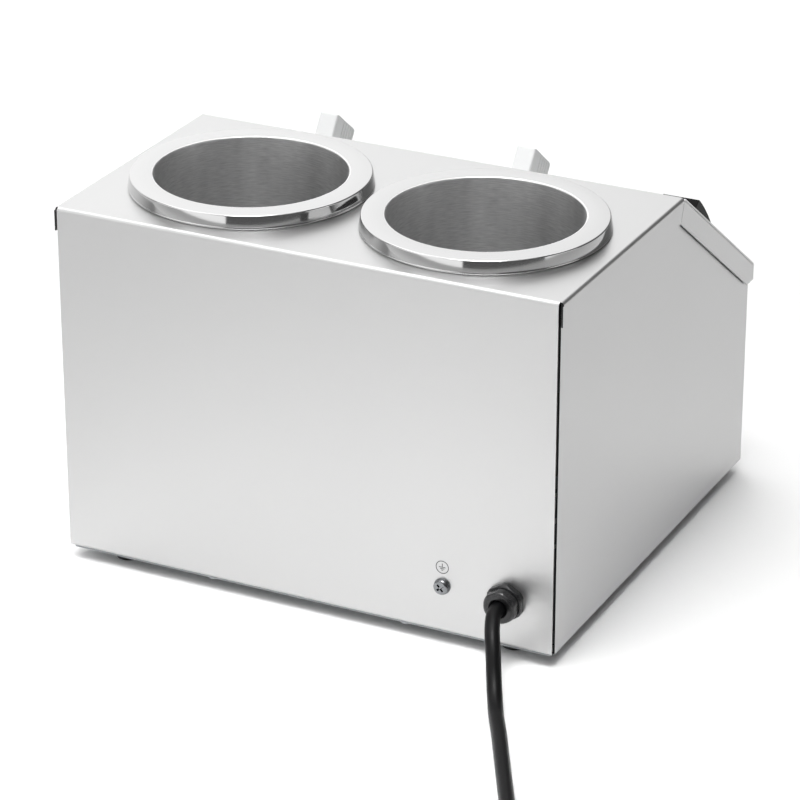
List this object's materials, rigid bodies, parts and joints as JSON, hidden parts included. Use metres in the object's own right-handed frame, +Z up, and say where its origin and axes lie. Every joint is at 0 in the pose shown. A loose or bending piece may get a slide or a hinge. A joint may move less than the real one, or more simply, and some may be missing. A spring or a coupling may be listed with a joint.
{
  "type": "sauce warmer",
  "caption": "Electric countertop sauce warmer: sloping-front stainless casing, lift-out pots in heated wells, thermostat knobs, rocker switch, mains lead with plug.",
  "frame": {"origin": "on the floor under the middle of the box round the warmer, mains lead left out", "axes": "+Z up, +Y towards the rear panel, +X to the right of a user who stands in front of the controls"},
  "size_m": [0.4296, 0.6465, 0.2405],
  "materials": {
    "casing": "satin brushed stainless sheet",
    "pots": "polished stainless, bright rim",
    "well": "plain stainless",
    "base_plate": "zinc-coated sheet",
    "steel_fixings": "zinc plated",
    "rubber": "matte black",
    "black_plastic": "satin black",
    "knobs": "silver-grey, satin",
    "heater": "heat-tinted steel sheath",
    "cutout": "brown phenolic",
    "copper": "copper",
    "thermostat": "plated case",
    "lamp_bodies": "bright plated",
    "lamp_lenses": "clear amber",
    "brass": "plain",
    "plated_brass": "nickel plated",
    "ceramic": "unglazed ceramic",
    "sleeving": "glass-fibre sleeving",
    "cord": "satin black sheath"
  },
  "bodies": {
    "casing": {"top_rear_cover": "casing", "control_panel": "casing", "lip_rivets": "steel_fixings", "body_shell": "casing", "base_plate": "base_plate", "base_screws": "steel_fixings", "rubber_feet": "rubber", "foot_screws": "steel_fixings", "foot_nuts": "steel_fixings", "heated_well_left": "well", "heated_well_right": "well", "band_heater_left": "heater", "band_heater_right": "heater", "heater_clamp_screws": "steel_fixings", "thermal_cutout_left": "cutout", "thermal_cutout_right": "cutout", "sensor_left": "copper", "sensor_right": "copper", "thermostat_left": "thermostat", "thermostat_right": "thermostat", "thermostat_screws": "steel_fixings", "lamp_body_left": "lamp_bodies", "lamp_body_right": "lamp_bodies", "lamp_lens_left": "lamp_lenses", "lamp_lens_right": "lamp_lenses", "lamp_nuts": "steel_fixings", "switch_housing": "black_plastic", "switch_terminals": "brass", "terminal_block": "ceramic", "terminal_screws": "brass", "earth_screw": "steel_fixings", "earth_nut": "steel_fixings", "gland_body": "black_plastic", "gland_cap": "black_plastic", "gland_locknut": "black_plastic", "inner_lead": "cord", "wiring": "sleeving", "power_cord": "cord", "cord_coil": "cord", "cord_tie": "rubber", "mains_plug": "cord", "plug_pins": "plated_brass"},
    "pot_left": {"pot_left": "pots"},
    "pot_right": {"pot_right": "pots"},
    "knob_left": {"knob_left": "knobs", "shaft_left": "steel_fixings"},
    "knob_right": {"knob_right": "knobs", "shaft_right": "steel_fixings"},
    "rocker": {"switch_rocker": "black_plastic"}
  },
  "joints": [
    {"name": "pot_left_lift", "type": "slide", "parent": "casing", "child": "pot_left", "axis": [0, 0, 1], "range_m": [0, 0.18]},
    {"name": "pot_right_lift", "type": "slide", "parent": "casing", "child": "pot_right", "axis": [0, 0, 1], "range_m": [0, 0.18]},
    {"name": "knob_left_turn", "type": "hinge", "parent": "casing", "child": "knob_left", "pos_m": [-0.04, -0.08013, 0.19954], "axis": [0, 0.5797, -0.8149], "range_deg": [0, 270]},
    {"name": "knob_right_turn", "type": "hinge", "parent": "casing", "child": "knob_right", "pos_m": [0.098, -0.08013, 0.19954], "axis": [0, 0.5797, -0.8149], "range_deg": [0, 270]},
    {"name": "rocker_tilt", "type": "hinge", "parent": "casing", "child": "rocker", "pos_m": [-0.1475, -0.08002, 0.19937], "axis": [-1, 0, 0], "range_deg": [0, 24]}
  ]
}
